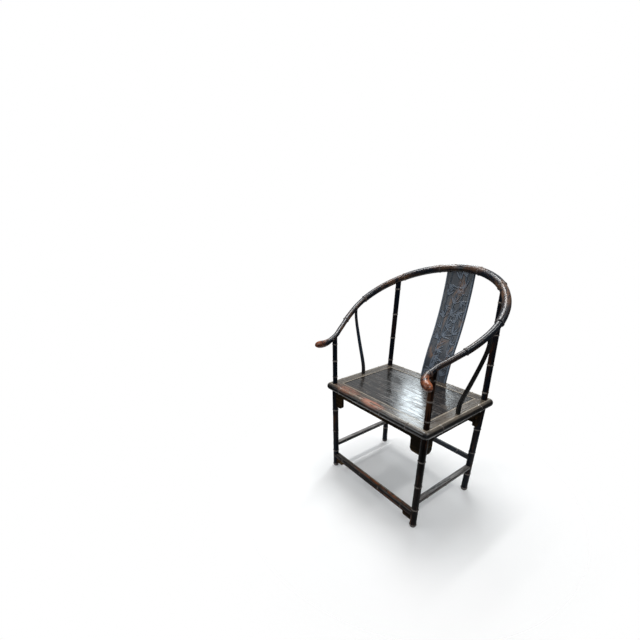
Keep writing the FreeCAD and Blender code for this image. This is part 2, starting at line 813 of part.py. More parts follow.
def frame_line(name, inset):
    """A shallow line cut all round the top of the frame, side by side with its edge."""
    loops = []
    for loop, edge in (("outer", inset), ("inner", inset + " + sizes.frame_line_wide")):
        loops.append(box(f"{name}_{loop}", f"2 * (places.frame_half_x - ({edge}))",
                         f"2 * (places.frame_half_y - ({edge}))", "sizes.frame_line_deep + sizes.overrun",
                         "0", "places.mid_y", "sizes.seat_top - sizes.frame_line_deep"))
    return cut(name, loops[0], loops[1:])


frame_cuts = [
    frame_line("rod_line", "sizes.frame_line_inset"),
    frame_line("lip_line", "sizes.frame_wide - sizes.frame_line_lip"),
    box("seat_opening", "2 * places.opening_half_x", "2 * places.opening_half_y",
        "sizes.frame_thick + 2 * sizes.overrun", "0", "places.mid_y", "places.frame_bottom - sizes.overrun"),
    box("panel_groove", "2 * (places.tongue_half_x + sizes.fit_gap)",
        "2 * (places.tongue_half_y + sizes.fit_gap)", "sizes.tongue_thick + 2 * sizes.fit_gap",
        "0", "places.mid_y", "places.tongue_bottom - sizes.fit_gap"),
]
for side, sign in (("left", ""), ("right", "-")):
    for y, dia in (("front_y", "front_post_dia"), ("rear_y", "rear_post_dia")):
        frame_cuts.append(cylinder(f"{dia}_hole_{side}", f"sizes.{dia} + 2 * sizes.fit_gap",
                                   "sizes.frame_thick + 2 * sizes.overrun", f"{sign}places.leg_x",
                                   f"places.{y}", "places.frame_bottom - sizes.overrun"))
    frame_cuts.append(cylinder(f"support_hole_{side}", "sizes.support_tenon_dia + 2 * sizes.fit_gap",
                               "sizes.support_stub + sizes.fit_gap + sizes.overrun",
                               f"{sign}sizes.support_foot_across / 2",
                               "places.rear_y - sizes.support_setback",
                               "sizes.seat_top - sizes.support_stub - sizes.fit_gap"))
    frame_cuts.append(box(f"batten_housing_{side}", "sizes.batten_wide + 2 * sizes.fit_gap",
                          "2 * (places.opening_half_y + sizes.batten_stub + sizes.fit_gap)",
                          "sizes.batten_thick + 2 * sizes.fit_gap", f"{sign}places.batten_x", "places.mid_y",
                          "places.panel_bottom - sizes.batten_thick - sizes.fit_gap"))
frame_cuts.append(box("splat_slot", "sizes.splat_wide - 2 * sizes.splat_tongue_inset + 2 * sizes.fit_gap",
                      "sizes.splat_tongue_thick + 2 * sizes.fit_gap",
                      "sizes.splat_tongue_reach + sizes.fit_gap + sizes.overrun",
                      "0", "places.rear_y + sizes.splat_foot_setback",
                      "sizes.seat_top - sizes.splat_tongue_reach - sizes.fit_gap"))
frame_ring = cut("frame_ring", frame_body, frame_cuts)


def mitred(name, half_long, half_across, angle):
    """The part of the frame between two mitres; the wedge is drawn for the front and then turned."""
    wedge = doc.addObject("Part::Wedge", name + "_wedge")
    wedge.Placement = Placement(Vector(), Rotation(Z, angle))
    reach = f"({half_long} + sizes.overrun)"
    inner = f"({half_long} - sizes.frame_wide - sizes.overrun)"
    bind(wedge, Xmin="-" + reach, Xmax=reach, X2min="-" + inner, X2max=inner,
         Ymin=f"-{half_across} - sizes.overrun", Ymax=f"-{half_across} + sizes.frame_wide + sizes.overrun",
         Zmin="places.frame_bottom - sizes.overrun", Z2min="places.frame_bottom - sizes.overrun",
         Zmax="sizes.seat_top + sizes.overrun", Z2max="sizes.seat_top + sizes.overrun",
         Base_y="places.mid_y")
    return common(name + "_bar", frame_ring, wedge)


def frame_tenon(name, side, end, extra="0"):
    """Tenon across a mitre, between the post's hole and the seat opening, below the groove."""
    start = "(places.opening_half_x - sizes.frame_tenon_wide)"
    stop = "(places.frame_half_x - sizes.frame_tenon_end)"
    across = "(places.opening_half_y + sizes.frame_tenon_inset)"
    return box(name, f"{stop} - {start} + 2 * {extra}", f"sizes.frame_tenon_wide + 2 * {extra}",
               f"sizes.frame_tenon_thick + 2 * {extra}", f"{side}({start} + {stop}) / 2",
               f"places.mid_y {end} {across}", f"places.frame_bottom + sizes.frame_tenon_lift - {extra}")


def rod_rings(name, spots, along, x="0", y="0"):
    """Nodes on the frame's round edge, the same to both sides of the middle."""
    rings = []
    for spot in spots:
        for sign in ("", "-"):
            shift = f"{sign}sizes.{spot}"
            ring_x, ring_y = (shift, y) if along == X else (x, f"places.mid_y + {shift}")
            rings += node_ring(f"{name}_{spot}{len(sign)}", "sizes.frame_thick", ring_x, ring_y,
                               "places.frame_mid_z", along)
    return rings


for end_name, end, angle, spots in (("front", "-", 0, ("front_node_inner", "frame_node_outer")),
                                    ("rear", "+", 180, ("rear_node_inner", "frame_node_outer"))):
    name = "seat_frame_" + end_name
    parts = [mitred(name, "places.frame_half_x", "places.frame_half_y", angle)]
    parts += [frame_tenon(f"{name}_tenon_{n}", side, end) for n, side in enumerate(("", "-"))]
    parts += rod_rings(name + "_node", spots, X, y=f"places.mid_y {end} places.rod_y")
    piece(name, fuse(name, parts))

side_bar = mitred("seat_frame_side", "places.frame_half_y", "places.frame_half_x", 90)
side_tools = [frame_tenon(f"frame_mortise_{n}", "", end, "sizes.fit_gap") for n, end in enumerate("-+")]
side_rings = rod_rings("seat_frame_side_node", ("side_node",), Y, x="places.rod_x")
side_joined = cut("seat_frame_side_joined", side_bar, side_tools)
pair("seat_frame", fuse("seat_frame_side", [side_joined] + side_rings))


# Seat panel, floating in the frame's groove, and the battens that keep it flat
def dovetail(name, side, extra="0", run_past="0"):
    """Ridge on a batten that slides into the panel: wider at its top than at its neck."""
    ridge = doc.addObject("Part::Wedge", name)
    ridge.Placement = Placement(Vector(), Rotation(X, 90))
    neck = f"(sizes.dovetail_neck / 2 + {extra})"
    top = f"(sizes.dovetail_neck / 2 + sizes.dovetail_flare + {extra})"
    run = f"(places.panel_deep / 2 + {run_past})"
    return bind(ridge, Xmin=f"-{neck}", Xmax=neck, X2min=f"-{top}", X2max=top,
                Ymin="0", Ymax=f"sizes.dovetail_rise + {extra}",
                Zmin=f"-{run}", Z2min=f"-{run}", Zmax=run, Z2max=run,
                Base_x=f"{side}places.batten_x", Base_y="places.mid_y", Base_z="places.panel_bottom")


panel_body = body_at("panel_board", "-places.panel_long / 2", "places.mid_y - places.panel_deep / 2",
                     "places.panel_bottom + sizes.panel_thick / 2")
panel_pad = padded(panel_body, rectangle(panel_body, "XY_Plane", "panel_long", "panel_deep"),
                   "sizes.panel_thick")
dressed("Chamfer", panel_body, panel_pad,
        lambda edge: near(edge.BoundBox.ZMin, size("panel_thick") / 2), "sizes.panel_chamfer")
tongue = box("panel_tongue", "2 * places.tongue_half_x", "2 * places.tongue_half_y", "sizes.tongue_thick",
             "0", "places.mid_y", "places.tongue_bottom")
slots = [dovetail("left_dovetail_slot", "", "sizes.fit_gap", "sizes.overrun"),
         dovetail("right_dovetail_slot", "-", "sizes.fit_gap", "sizes.overrun")]
piece("seat_panel", cut("seat_panel", fuse("panel_blank", [panel_body, tongue]), slots))

batten_bar = box("batten_bar", "sizes.batten_wide", "2 * (places.opening_half_y + sizes.batten_stub)",
                 "sizes.batten_thick", "places.batten_x", "places.mid_y",
                 "places.panel_bottom - sizes.batten_thick")
pair("seat_batten", fuse("seat_batten", [batten_bar, dovetail("batten_ridge", "")]))

# Clearance round the legs, which shapes the ends of the aprons and stretchers
leg_spaces = [
    cylinder(f"leg_space_{n}", "2 * places.leg_clear_radius", "places.frame_bottom", x, y)
    for n, (x, y) in enumerate((x, y) for x in ("places.leg_x", "-places.leg_x")
                               for y in ("places.front_y", "places.rear_y"))
]


# Aprons: a strip under the frame with a spandrel at each leg, drawn as half and mirrored
def apron_board(name, x, y, z, turn, half, inner, strip, drop, thick, spandrel_round, cusp_round):
    body = body_at(name, x, y, z, Rotation(Z, turn) * Rotation(Y, 180))
    sketch = outline(body, "XZ_Plane", [("0", "0"), (half, "0"), (half, drop), (inner, drop),
                                        (inner, strip), ("0", strip)])
    pad = padded(body, sketch, f"sizes.{thick}")
    board = body.newObject("PartDesign::Mirrored", name + "_halves")
    board.Originals = [pad]
    board.MirrorPlane = (plane(body, "YZ_Plane"), [""])
    body.Tip = board
    doc.recompute()

    def across_at(height):
        return lambda edge: (near(edge.BoundBox.YLength, size(thick)) and near(edge.BoundBox.XLength, 0)
                             and near(abs(edge.BoundBox.XMin), lookup(inner))
                             and near(abs(edge.BoundBox.ZMin), lookup(height)))

    cusps = dressed("Fillet", body, board, across_at(strip), f"sizes.{cusp_round}")
    dressed("Fillet", body, cusps, across_at(drop), f"sizes.{spandrel_round}")
    return body


APRONS = {
    "front_apron": ("0", "places.front_y", 0, "apron_half_x", "front_spandrel_in"),
    "rear_apron": ("0", "places.rear_y", 0, "apron_half_x", "front_spandrel_in"),
    "left_apron": ("places.leg_x", "places.mid_y", 90, "apron_half_y", "side_spandrel_in"),
    "right_apron": ("-places.leg_x", "places.mid_y", 90, "apron_half_y", "side_spandrel_in"),
}
for name, (x, y, turn, half, inner) in APRONS.items():
    board = apron_board(name + "_board", x, y, "places.frame_bottom", turn, half, inner, "apron_strip",
                        "apron_drop", "apron_thick", "spandrel_round", "spandrel_cusp_round")
    piece(name, cut(name, board, leg_spaces))


# Stretchers: the front and side ones are round below and flat on top, the rear one is round
def flat_bar(name, role, wide, high, length, x, y, z):
    body = body_at(name, x, y, z)
    pad = padded(body, rectangle(body, role, wide, high), length)
    run = "XLength" if role == "YZ_Plane" else "YLength"

    def along_at(height):
        return lambda edge: (near(edge.BoundBox.ZMin, height) and near(edge.BoundBox.ZLength, 0)
                             and getattr(edge.BoundBox, run) > size(wide) + size("overrun"))

    lower = dressed("Fillet", body, pad, along_at(0), f"sizes.{wide} / 2 - sizes.fit_gap")
    dressed("Fillet", body, lower, along_at(size(high)), "sizes.stretcher_edge_round")
    return body


def worn_rings(name, dia, spots, along, x, y, z, top):
    """Nodes on a flat topped bar, worn down level with its top but for a trace."""
    rings = []
    for n, spot in enumerate(spots):
        ring_x, ring_y = (spot, y) if along == X else (x, f"{y} + {spot}")
        rings += node_ring(f"{name}_{n}", dia, ring_x, ring_y, z, along)
    worn = box(name + "_worn", "2 * sizes.legs_across", "2 * sizes.legs_across", "sizes.footrest_wide",
               x, y, f"{top} + sizes.node_worn_rise")
    return cut(name, fuse(name + "_all", rings), [worn])


def both_ways(*aliases):
    return [f"{sign}sizes.{alias}" for alias in aliases for sign in ("", "-")]


footrest_nodes = both_ways("stretcher_node_inner", "stretcher_node_outer")
footrest_axis = "places.footrest_bottom + sizes.footrest_wide / 2"
footrest_bar = flat_bar("footrest_bar", "YZ_Plane", "footrest_wide", "footrest_high", "sizes.legs_across",
                        "0", "places.front_y - sizes.footrest_wide / 2", "places.footrest_bottom")
footrest = cut("footrest_coped", footrest_bar, leg_spaces)
footrest_rings = worn_rings("footrest_nodes", "sizes.footrest_wide", footrest_nodes, X, "0", "places.front_y",
                            footrest_axis, "sizes.footrest_top")
footrest_core = cylinder("footrest_tenons", "sizes.stretcher_tenon_dia",
                         "2 * (places.leg_x + sizes.tenon_past_centre)",
                         "-places.leg_x - sizes.tenon_past_centre", "places.front_y",
                         "places.footrest_mid_z", X)
piece("footrest_stretcher", fuse("footrest_stretcher", [footrest, footrest_rings, footrest_core]))

side_axis = "places.side_stretcher_mid_z - sizes.side_stretcher_high / 2 + sizes.side_stretcher_wide / 2"
side_bar = flat_bar("side_stretcher_bar", "XZ_Plane", "side_stretcher_wide", "side_stretcher_high",
                    "sizes.legs_deep", "places.leg_x - sizes.side_stretcher_wide / 2", "places.mid_y",
                    "sizes.side_stretcher_top - sizes.side_stretcher_high")
side_stretcher = cut("side_stretcher_coped", side_bar, leg_spaces)
side_rings = worn_rings("side_stretcher_nodes", "sizes.side_stretcher_wide",
                        ["0"] + both_ways("side_stretcher_node"), Y, "places.leg_x", "places.mid_y",
                        side_axis, "sizes.side_stretcher_top")
side_core = cylinder("side_stretcher_tenons", "sizes.stretcher_tenon_dia",
                     "sizes.legs_deep + 2 * sizes.tenon_past_centre", "places.leg_x",
                     "places.front_y - sizes.tenon_past_centre", "places.side_stretcher_mid_z", Y)
pair("side_stretcher", fuse("side_stretcher", [side_stretcher, side_rings, side_core]))

rear_bar = cylinder("rear_stretcher_bar", "sizes.rear_stretcher_dia", "sizes.legs_across", "-places.leg_x",
                    "places.rear_y", "sizes.rear_stretcher_height", X)
rear_parts = [
    cut("rear_stretcher_coped", rear_bar, leg_spaces),
    cylinder("rear_stretcher_tenons", "sizes.stretcher_tenon_dia",
             "2 * (places.leg_x + sizes.tenon_past_centre)", "-places.leg_x - sizes.tenon_past_centre",
             "places.rear_y", "sizes.rear_stretcher_height", X),
]
for n, spot in enumerate(footrest_nodes):
    rear_parts += node_ring(f"rear_stretcher_node_{n}", "sizes.rear_stretcher_dia", spot, "places.rear_y",
                            "sizes.rear_stretcher_height", X)
piece("rear_stretcher", fuse("rear_stretcher", rear_parts))

# Footrest apron: a narrow strip under the footrest, scribed to its round underside and its nodes
footrest_board = apron_board("footrest_apron_board", "0", "places.front_y", "places.footrest_mid_z", 0,
                             "apron_half_x", "front_spandrel_in", "footrest_strip_low",
                             "footrest_spandrel_low", "footrest_apron_thick", "footrest_spandrel_round",
                             "footrest_cusp_round")
footrest_space = "sizes.footrest_wide + 2 * sizes.fit_gap"
scribe = [cylinder("footrest_space", footrest_space, "sizes.legs_across", "-places.leg_x", "places.front_y",
                   footrest_axis, X)]
for n, spot in enumerate(footrest_nodes):
    scribe += node_ring(f"footrest_space_node_{n}", footrest_space, spot, "places.front_y", footrest_axis, X)
piece("footrest_apron", cut("footrest_apron", footrest_board, scribe + leg_spaces))

# Everything is computed and checked before any file is written
doc.recompute()
for item in doc.Objects:
    if "Invalid" in item.State or "Error" in item.State:
        raise RuntimeError(f"{item.Name} failed: {item.State}")
for item in NODES:
    if item.Shape.isNull() or not item.Shape.isValid() or not item.Shape.Solids:
        raise RuntimeError(f"{item.Label} has no valid solid")

os.makedirs("parts", exist_ok=True)
for item in NODES:
    item.Shape.exportStep(f"parts/{item.Label}.step")
    bounds = item.Shape.BoundBox
    print(f"{item.Label}: {len(item.Shape.Solids)} solid, {item.Shape.Volume:.0f} mm3, "
          f"x {bounds.XMin:.1f} {bounds.XMax:.1f} y {bounds.YMin:.1f} {bounds.YMax:.1f} "
          f"z {bounds.ZMin:.1f} {bounds.ZMax:.1f}")
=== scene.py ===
import bpy
import math
import numpy as np
from mathutils import Matrix, Vector


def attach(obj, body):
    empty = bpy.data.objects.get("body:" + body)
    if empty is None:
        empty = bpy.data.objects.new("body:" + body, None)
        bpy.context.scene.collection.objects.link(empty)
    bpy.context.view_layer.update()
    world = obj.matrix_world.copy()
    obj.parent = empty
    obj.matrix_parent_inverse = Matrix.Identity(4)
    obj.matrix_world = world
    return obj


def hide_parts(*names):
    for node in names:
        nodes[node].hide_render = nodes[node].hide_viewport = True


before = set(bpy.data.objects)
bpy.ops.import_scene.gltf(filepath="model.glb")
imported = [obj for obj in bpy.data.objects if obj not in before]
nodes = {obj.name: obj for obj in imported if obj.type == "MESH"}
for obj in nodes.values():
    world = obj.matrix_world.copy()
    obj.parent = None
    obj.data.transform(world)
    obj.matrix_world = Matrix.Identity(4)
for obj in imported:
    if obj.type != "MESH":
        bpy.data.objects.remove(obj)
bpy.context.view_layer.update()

# Camera of the photograph, in the chair's own axes
IMAGE_SIDE = 640
SENSOR_MM = 36
FOCAL_PX = 321.78
PRINCIPAL_PX = (322.22, 405.80)
PITCH, ROLL, TURN = math.radians(27.830), math.radians(-1.987), math.radians(-55.155)
CAMERA_SPOT = Vector((0.8204, -1.0248, 1.0641))


def make_camera():
    data = bpy.data.cameras.new("camera")
    camera = bpy.data.objects.new("camera", data)
    bpy.context.scene.collection.objects.link(camera)
    data.sensor_width = SENSOR_MM
    data.lens = FOCAL_PX * SENSOR_MM / IMAGE_SIDE
    data.shift_x = (IMAGE_SIDE / 2 - PRINCIPAL_PX[0]) / IMAGE_SIDE
    data.shift_y = (PRINCIPAL_PX[1] - IMAGE_SIDE / 2) / IMAGE_SIDE
    ahead = Vector((math.sin(TURN) * math.cos(PITCH), math.cos(TURN) * math.cos(PITCH), -math.sin(PITCH)))
    right = Vector((math.cos(TURN), -math.sin(TURN), 0))
    up = Vector((math.sin(TURN) * math.sin(PITCH), math.cos(TURN) * math.sin(PITCH), math.cos(PITCH)))
    side = math.cos(ROLL) * right + math.sin(ROLL) * up
    top = math.cos(ROLL) * up - math.sin(ROLL) * right
    turn = Matrix((side, top, -ahead)).transposed().to_4x4()
    camera.matrix_world = Matrix.Translation(CAMERA_SPOT) @ turn
    bpy.context.scene.camera = camera


make_camera()


# Node graphs
class Graph:
    """A node tree under construction; each call adds a node and returns its output."""

    def __init__(self, tree):
        self.tree = tree
        tree.nodes.clear()

    def add(self, kind, values=(), output=0, **settings):
        node = self.tree.nodes.new("ShaderNode" + kind)
        for key, value in settings.items():
            setattr(node, key, value)
        for key, value in dict(values).items():
            if isinstance(value, bpy.types.NodeSocket):
                self.tree.links.new(value, node.inputs[key])
            else:
                node.inputs[key].default_value = value
        return node.outputs[output] if node.outputs else node

    def math(self, operation, a, b=0.0, clamp=False):
        return self.add("Math", {0: a, 1: b}, operation=operation, use_clamp=clamp)

    def plus(self, a, b, clamp=False):
        return self.math("ADD", a, b, clamp)

    def minus(self, a, b):
        return self.math("SUBTRACT", a, b)

    def times(self, a, b):
        return self.math("MULTIPLY", a, b)

    def absolute(self, a):
        return self.math("ABSOLUTE", a)

    def total(self, start, *terms):
        """Start, and each value times its weight."""
        for value, weight in terms:
            start = self.plus(start, self.times(value, weight))
        return start

    def weigh(self, weights, first, *others):
        """The values' sum, each times its weight."""
        return self.total(self.times(first, weights[0]), *zip(others, weights[1:]))

    def vector(self, operation, a, b=(0, 0, 0), output=0):
        return self.add("VectorMath", {0: a, 1: b}, output, operation=operation)

    def dot(self, a, b):
        return self.vector("DOT_PRODUCT", a, b, output=1)

    def length(self, a):
        return self.vector("LENGTH", a, output=1)

    def mix(self, share, a, b):
        return self.add("MixRGB", {0: share, 1: a, 2: b})

    def noise(self, place, along, scale, detail=4.0, rough=0.6, distort=0.0):
        """Noise that runs slower along the third coordinate, by the factor along."""
        slowed = self.vector("MULTIPLY", place, (1.0, 1.0, along))
        return self.add("TexNoise", {"Vector": slowed, "Scale": scale, "Detail": detail, "Roughness": rough,
                                     "Distortion": distort})

    def step(self, value, low, high):
        """0 below low, 1 above high, smooth between them; reversed where low is above high."""
        if low > high:
            return self.minus(1.0, self.step(value, high, low))
        values = {"Value": value, "From Min": low, "From Max": high}
        return self.add("MapRange", values, interpolation_type="SMOOTHSTEP")

    def place(self):
        return self.add("TexCoord", output=3)

    def flat_normal(self):
        return self.add("NewGeometry", output=1)

    def parts(self, vector):
        node = self.tree.nodes.new("ShaderNodeSeparateXYZ")
        self.tree.links.new(vector, node.inputs[0])
        return node.outputs[0], node.outputs[1], node.outputs[2]

    def join(self, x, y, z):
        return self.add("CombineXYZ", {0: x, 1: y, 2: z})

    def shade(self, colour, dull, height, bump, depth, specular, coat, coat_dull):
        """The shader of a lacquered surface, as the tree's output."""
        normal = self.add("Bump", {"Strength": bump, "Distance": depth, "Height": height})
        shader = self.add("BsdfPrincipled", {
            "Base Color": colour, "Roughness": dull, "Normal": normal, "Specular IOR Level": specular,
            "Coat Weight": coat, "Coat Roughness": coat_dull})
        self.add("OutputMaterial", {"Surface": shader})


def new_material(name):
    """A material, and the empty graph that fills it."""
    material = bpy.data.materials.new(name)
    material.use_nodes = True
    return material, Graph(material.node_tree)


SCREEN_KNEE = 10.3 / 255


def rgb(red, green, blue):
    """A colour as it is seen on screen, 0 to 255, as linear light."""
    levels = [level / 255 for level in (red, green, blue)]
    linear = [x / 12.92 if x <= SCREEN_KNEE else ((x + 0.055) / 1.055) ** 2.4 for x in levels]
    return (*linear, 1.0)


# Colours
BLACK = rgb(12, 11, 11)
# The blue in the next two blacks is a painted sheen: cool reflected light put into the colour
BLACK_WITH_PAINTED_BLUE_SHEEN = rgb(16, 24, 34)
GREY_WITH_PAINTED_BLUE_SHEEN = rgb(30, 42, 56)
DEEP_BROWN = rgb(38, 27, 20)
LEG_BROWN = rgb(42, 26, 20)
APRON_BLACK = rgb(26, 20, 13)
APRON_BROWN = rgb(84, 64, 40)
BROWN = rgb(96, 62, 40)
GOLD = rgb(124, 90, 64)
RUSSET = rgb(146, 84, 52)
ORANGE = rgb(180, 102, 60)
# Salmon wear, made paler by a painted sheen
SALMON_WEAR_AND_SHEEN = rgb(170, 108, 84)
RING_WEAR_AND_HIGHLIGHT = rgb(140, 132, 126)
TOP_DARK = rgb(56, 50, 46)
TOP_BROWN = rgb(66, 58, 51)
TOP_OLIVE = rgb(80, 73, 64)
TOP_STREAK = rgb(108, 97, 84)
# The side stretchers' grey and light top colours are a painted highlight
TOP_HIGHLIGHT_GREY = rgb(122, 118, 116)
TOP_PALE = rgb(128, 122, 116)
TOP_HIGHLIGHT_STREAK = rgb(184, 180, 176)
# A pale colour for a painted highlight along thin lines and edges
LINE_PAINTED_HIGHLIGHT = rgb(176, 166, 150)
PANEL_BROWN = rgb(46, 37, 30)
# The splat's blue-grey ground and streaks are black lacquer with a painted cool sheen
SPLAT_SHEEN_GROUND = rgb(42, 51, 65)
SPLAT_SHEEN_STREAK = rgb(74, 79, 87)
SPLAT_BROWN = rgb(140, 104, 78)
# Wear and a painted highlight on the raised carving
SPLAT_RAISED_WEAR_AND_HIGHLIGHT = rgb(118, 132, 150)

# Shape of the rail for its grain: the plan's middle, and how the rail climbs towards the back
RAIL_MIDDLE_Y = -0.03
RAIL_CLIMB = 0.54
RAIL_RADIUS = 0.30

# Middles of the rail's rings on the sitter's left, and the rail's direction there
RAIL_RINGS = (
    ((0.08961, 0.24432, 0.92536), (0.9276, -0.3554, -0.1150)),
    ((0.22150, 0.17328, 0.88964), (0.7248, -0.6017, -0.3358)),
    ((0.31410, 0.02160, 0.80215), (0.1272, -0.8583, -0.4971)),
    ((0.29327, -0.10469, 0.73054), (-0.3468, -0.8266, -0.4432)),
    ((0.25121, -0.21702, 0.67488), (-0.0944, -0.9139, -0.3949)),
)
RAIL_RING_REACH = 0.004
RAIL_RING_CORE = RAIL_RING_REACH * 0.35
RAIL_RING_BALL = (0.032, 0.026)

# Heights of the rings on the uprights, and places of the rings along the frame and the stretchers
LEG_RINGS = (0.009, 0.092, 0.210, 0.328)
FRONT_POST_RINGS = (0.497, 0.573, 0.649)
REAR_POST_RINGS = (0.497, 0.611, 0.725, 0.839)
FRONT_FRAME_RINGS = (0.061, 0.190)
REAR_FRAME_RINGS = (0.095, 0.190)
SIDE_FRAME_RINGS = (0.120,)
BAR_RINGS = (0.060, 0.190)
SIDE_BAR_RINGS = (0.0, 0.119)
RING_REACH = 0.0045
RING_CORE = RING_REACH * 0.4
MIDDLE_Y = -0.0205

# Half of the frame's opening, how far outside its edge the frame's two lines of painted highlight run, and
# their half width and the height at which the frame's top starts
FRAME_OPENING = (0.2250, 0.1515)
FRAME_LINE_PLACES = (0.0044, 0.0440)
FRAME_LINE_HALF = (0.0026, 0.0012)
FRAME_TOP_START = (0.462, 0.465)

# Where each kind of wear, and the painted highlight on rings and lines, starts and is full, on noise with
# its middle at 0.5
THIN_WEAR = (0.47, 0.66)
TOP_STREAKS = (0.44, 0.64)
TOP_STROKES = (0.54, 0.60)
EDGE_GRIME = (0.40, 0.60)
LINE_GRIME = (0.20, 0.45)
RING_GRIME = (0.30, 0.52)
PATCH_BREAKS = (0.40, 0.52)
DULL_STREAKS = (0.35, 0.70)
DULL_GRIME = (0.45, 0.75)

# The same for strokes of rubbing on a part that isn't worn, and how much sooner they come if it is
RUBBED_START, RUBBED_FULL = (0.64, -0.14), (0.72, -0.08)

# Edges are found by rounding them, faces that look up by their normal, patches fade from their core
EDGE_RADIUS = 0.0022
EDGE_TURN = (0.985, 0.90)
UPWARD = (0.55, 0.9)
PATCH_CORE = 0.35

# Shares of the wear in the colour, the edges' with what wear adds, and the gloss and bump
RUBBED_SHARE = 0.85
TOP_SHARE = 0.85
EDGE_SHARE, EDGE_WORN_SHARE = 0.4, 0.3
DULL_SHARE = 0.14
LACQUER_DEPTH = 0.0003
COAT_DULL = 0.14

# Weights of streaks and patches in thin lacquer, of fine strokes, streaks and patches in rubbing, of
# streaks and grime in the breaks of a patch, and of streaks, fine strokes and grime in the bump
THIN_WEIGHTS = (0.55, 0.45)
STROKE_WEIGHTS = (0.2, 0.4, 0.4)
BREAK_WEIGHTS = (0.6, 0.4)
BUMP_WEIGHTS = (0.5, 0.25, 0.5)


def grain_place(g, grain):
    """Coordinates with the third along the grain, in metres."""
    x, y, z = g.parts(g.place())
    if grain != "rail":
        return g.join(*{"x": (y, z, x), "y": (x, z, y), "z": (x, y, z)}[grain])
    ahead = g.minus(RAIL_MIDDLE_Y, y)
    reach = g.math("POWER", g.plus(g.times(x, x), g.times(ahead, ahead)), 0.5)
    angle = g.math("ARCTAN2", ahead, g.absolute(x))
    height = g.minus(z, g.times(y, RAIL_CLIMB))
    return g.join(reach, height, g.times(angle, RAIL_RADIUS))


def edge_wear(g):
    """1 on edges and ridges that hands and cloth rub, 0 on faces."""
    bevel = g.add("Bevel", {"Radius": EDGE_RADIUS}, samples=4)
    return g.step(g.dot(bevel, g.flat_normal()), *EDGE_TURN)


def mirrored_place(g):
    """Coordinates with both sides of the chair on the sitter's left."""
    x, y, z = g.parts(g.place())
    return g.join(g.absolute(x), y, z)


def rail_ring_mask(g, spots):
    """1 on the rail's rings, on both sides."""
    place = mirrored_place(g)
    total = 0.0
    for spot, along in spots:
        off = g.vector("SUBTRACT", place, spot)
        down = g.step(g.absolute(g.dot(off, along)), RAIL_RING_REACH, RAIL_RING_CORE)
        total = g.plus(total, g.times(down, g.step(g.length(off), *RAIL_RING_BALL)), clamp=True)
    return total


def band_mask(g, axis, spots):
    """1 at these places along one axis; along x and y they count from the middle, to both sides."""
    value = g.parts(g.place())["xyz".index(axis)]
    if axis == "y":
        value = g.minus(value, MIDDLE_Y)
    if axis != "z":
        value = g.absolute(value)
    total = 0.0
    for spot in spots:
        off = g.absolute(g.minus(value, spot))
        total = g.plus(total, g.step(off, RING_REACH, RING_CORE), clamp=True)
    return total


def frame_highlight_lines(g):
    """1 on the two shallow lines round the top of the seat frame, where a highlight is painted."""
    x, y, z = g.parts(g.place())
    beyond_x = g.minus(g.absolute(x), FRAME_OPENING[0])
    beyond_y = g.minus(g.absolute(g.minus(y, MIDDLE_Y)), FRAME_OPENING[1])
    out = g.math("MAXIMUM", beyond_x, beyond_y)
    total = 0.0
    for spot in FRAME_LINE_PLACES:
        total = g.plus(total, g.step(g.absolute(g.minus(out, spot)), *FRAME_LINE_HALF), clamp=True)
    return g.times(total, g.step(z, *FRAME_TOP_START))


PLAIN_FINISH = dict(
    rings=(), ring_share=0.45, worn=0.4, patches=(), gloss=0.25, specular=0.35, coat=0.25, bump=0.3,
    body=BLACK, under=DEEP_BROWN, rubbed=BROWN, top=None, lines=False)


class Finish:
    """What sets one lacquered material apart from the next; the rest is as in PLAIN_FINISH.

    grain is the axis of the grain, or rail; rings are heights or places of rings along it, coloured with
    wear and a painted highlight; a patch has a middle, half sizes, a share and a colour; top has two colours
    for faces that look up; lines puts a painted highlight on the frame's lines.
    """

    def __init__(self, name, grain, **own):
        assert set(own) <= set(PLAIN_FINISH), own
        self.name, self.grain = name, grain
        for key, value in {**PLAIN_FINISH, **own}.items():
            setattr(self, key, value)


def lacquer_colour(g, f, streaks, patches, fine, grime):
    """Black over brown, rubbed through in strokes and on edges, with rings of wear and painted highlight,
    lines of painted highlight, and patches of wear, painted highlight and sheen.
    """
    thin = g.step(g.weigh(THIN_WEIGHTS, streaks, patches), *THIN_WEAR)
    colour = g.mix(thin, f.body, f.under)
    strokes = g.weigh(STROKE_WEIGHTS, fine, streaks, patches)
    low, high = (base + change * f.worn for base, change in (RUBBED_START, RUBBED_FULL))
    colour = g.mix(g.times(g.step(strokes, low, high), RUBBED_SHARE), colour, f.rubbed)
    upward = g.step(g.parts(g.flat_normal())[2], *UPWARD)
    if f.top:
        base, streak = f.top
        top = g.mix(g.step(streaks, *TOP_STREAKS), base, streak)
        colour = g.mix(g.times(upward, TOP_SHARE), colour, top)
        colour = g.mix(g.times(upward, g.step(strokes, *TOP_STROKES)), colour, BLACK)
    edges = g.times(edge_wear(g), g.step(grime, *EDGE_GRIME))
    colour = g.mix(g.times(edges, EDGE_SHARE + EDGE_WORN_SHARE * f.worn), colour, f.rubbed)
    if f.lines:
        # The frame's lines get a painted highlight
        colour = g.mix(g.times(frame_highlight_lines(g), g.step(grime, *LINE_GRIME)), colour, LINE_PAINTED_HIGHLIGHT)
    if f.rings:
        hit = rail_ring_mask(g, f.rings) if f.grain == "rail" else band_mask(g, f.grain, f.rings)
        hit = g.times(hit, g.step(grime, *RING_GRIME))
        if f.top:
            hit = g.times(hit, g.minus(1.0, upward))
        # The rings' pale colour is wear and a painted highlight together
        colour = g.mix(g.times(hit, f.ring_share), colour, RING_WEAR_AND_HIGHLIGHT)
    for spot, reach, share, paint in f.patches:
        place = mirrored_place(g) if f.grain == "rail" else g.place()
        off = g.length(g.vector("DIVIDE", g.vector("SUBTRACT", place, spot), reach))
        broken = g.weigh(BREAK_WEIGHTS, streaks, grime)
        hit = g.times(g.step(off, 1.0, PATCH_CORE), g.step(broken, *PATCH_BREAKS))
        colour = g.mix(g.times(hit, share), colour, paint)
    return colour


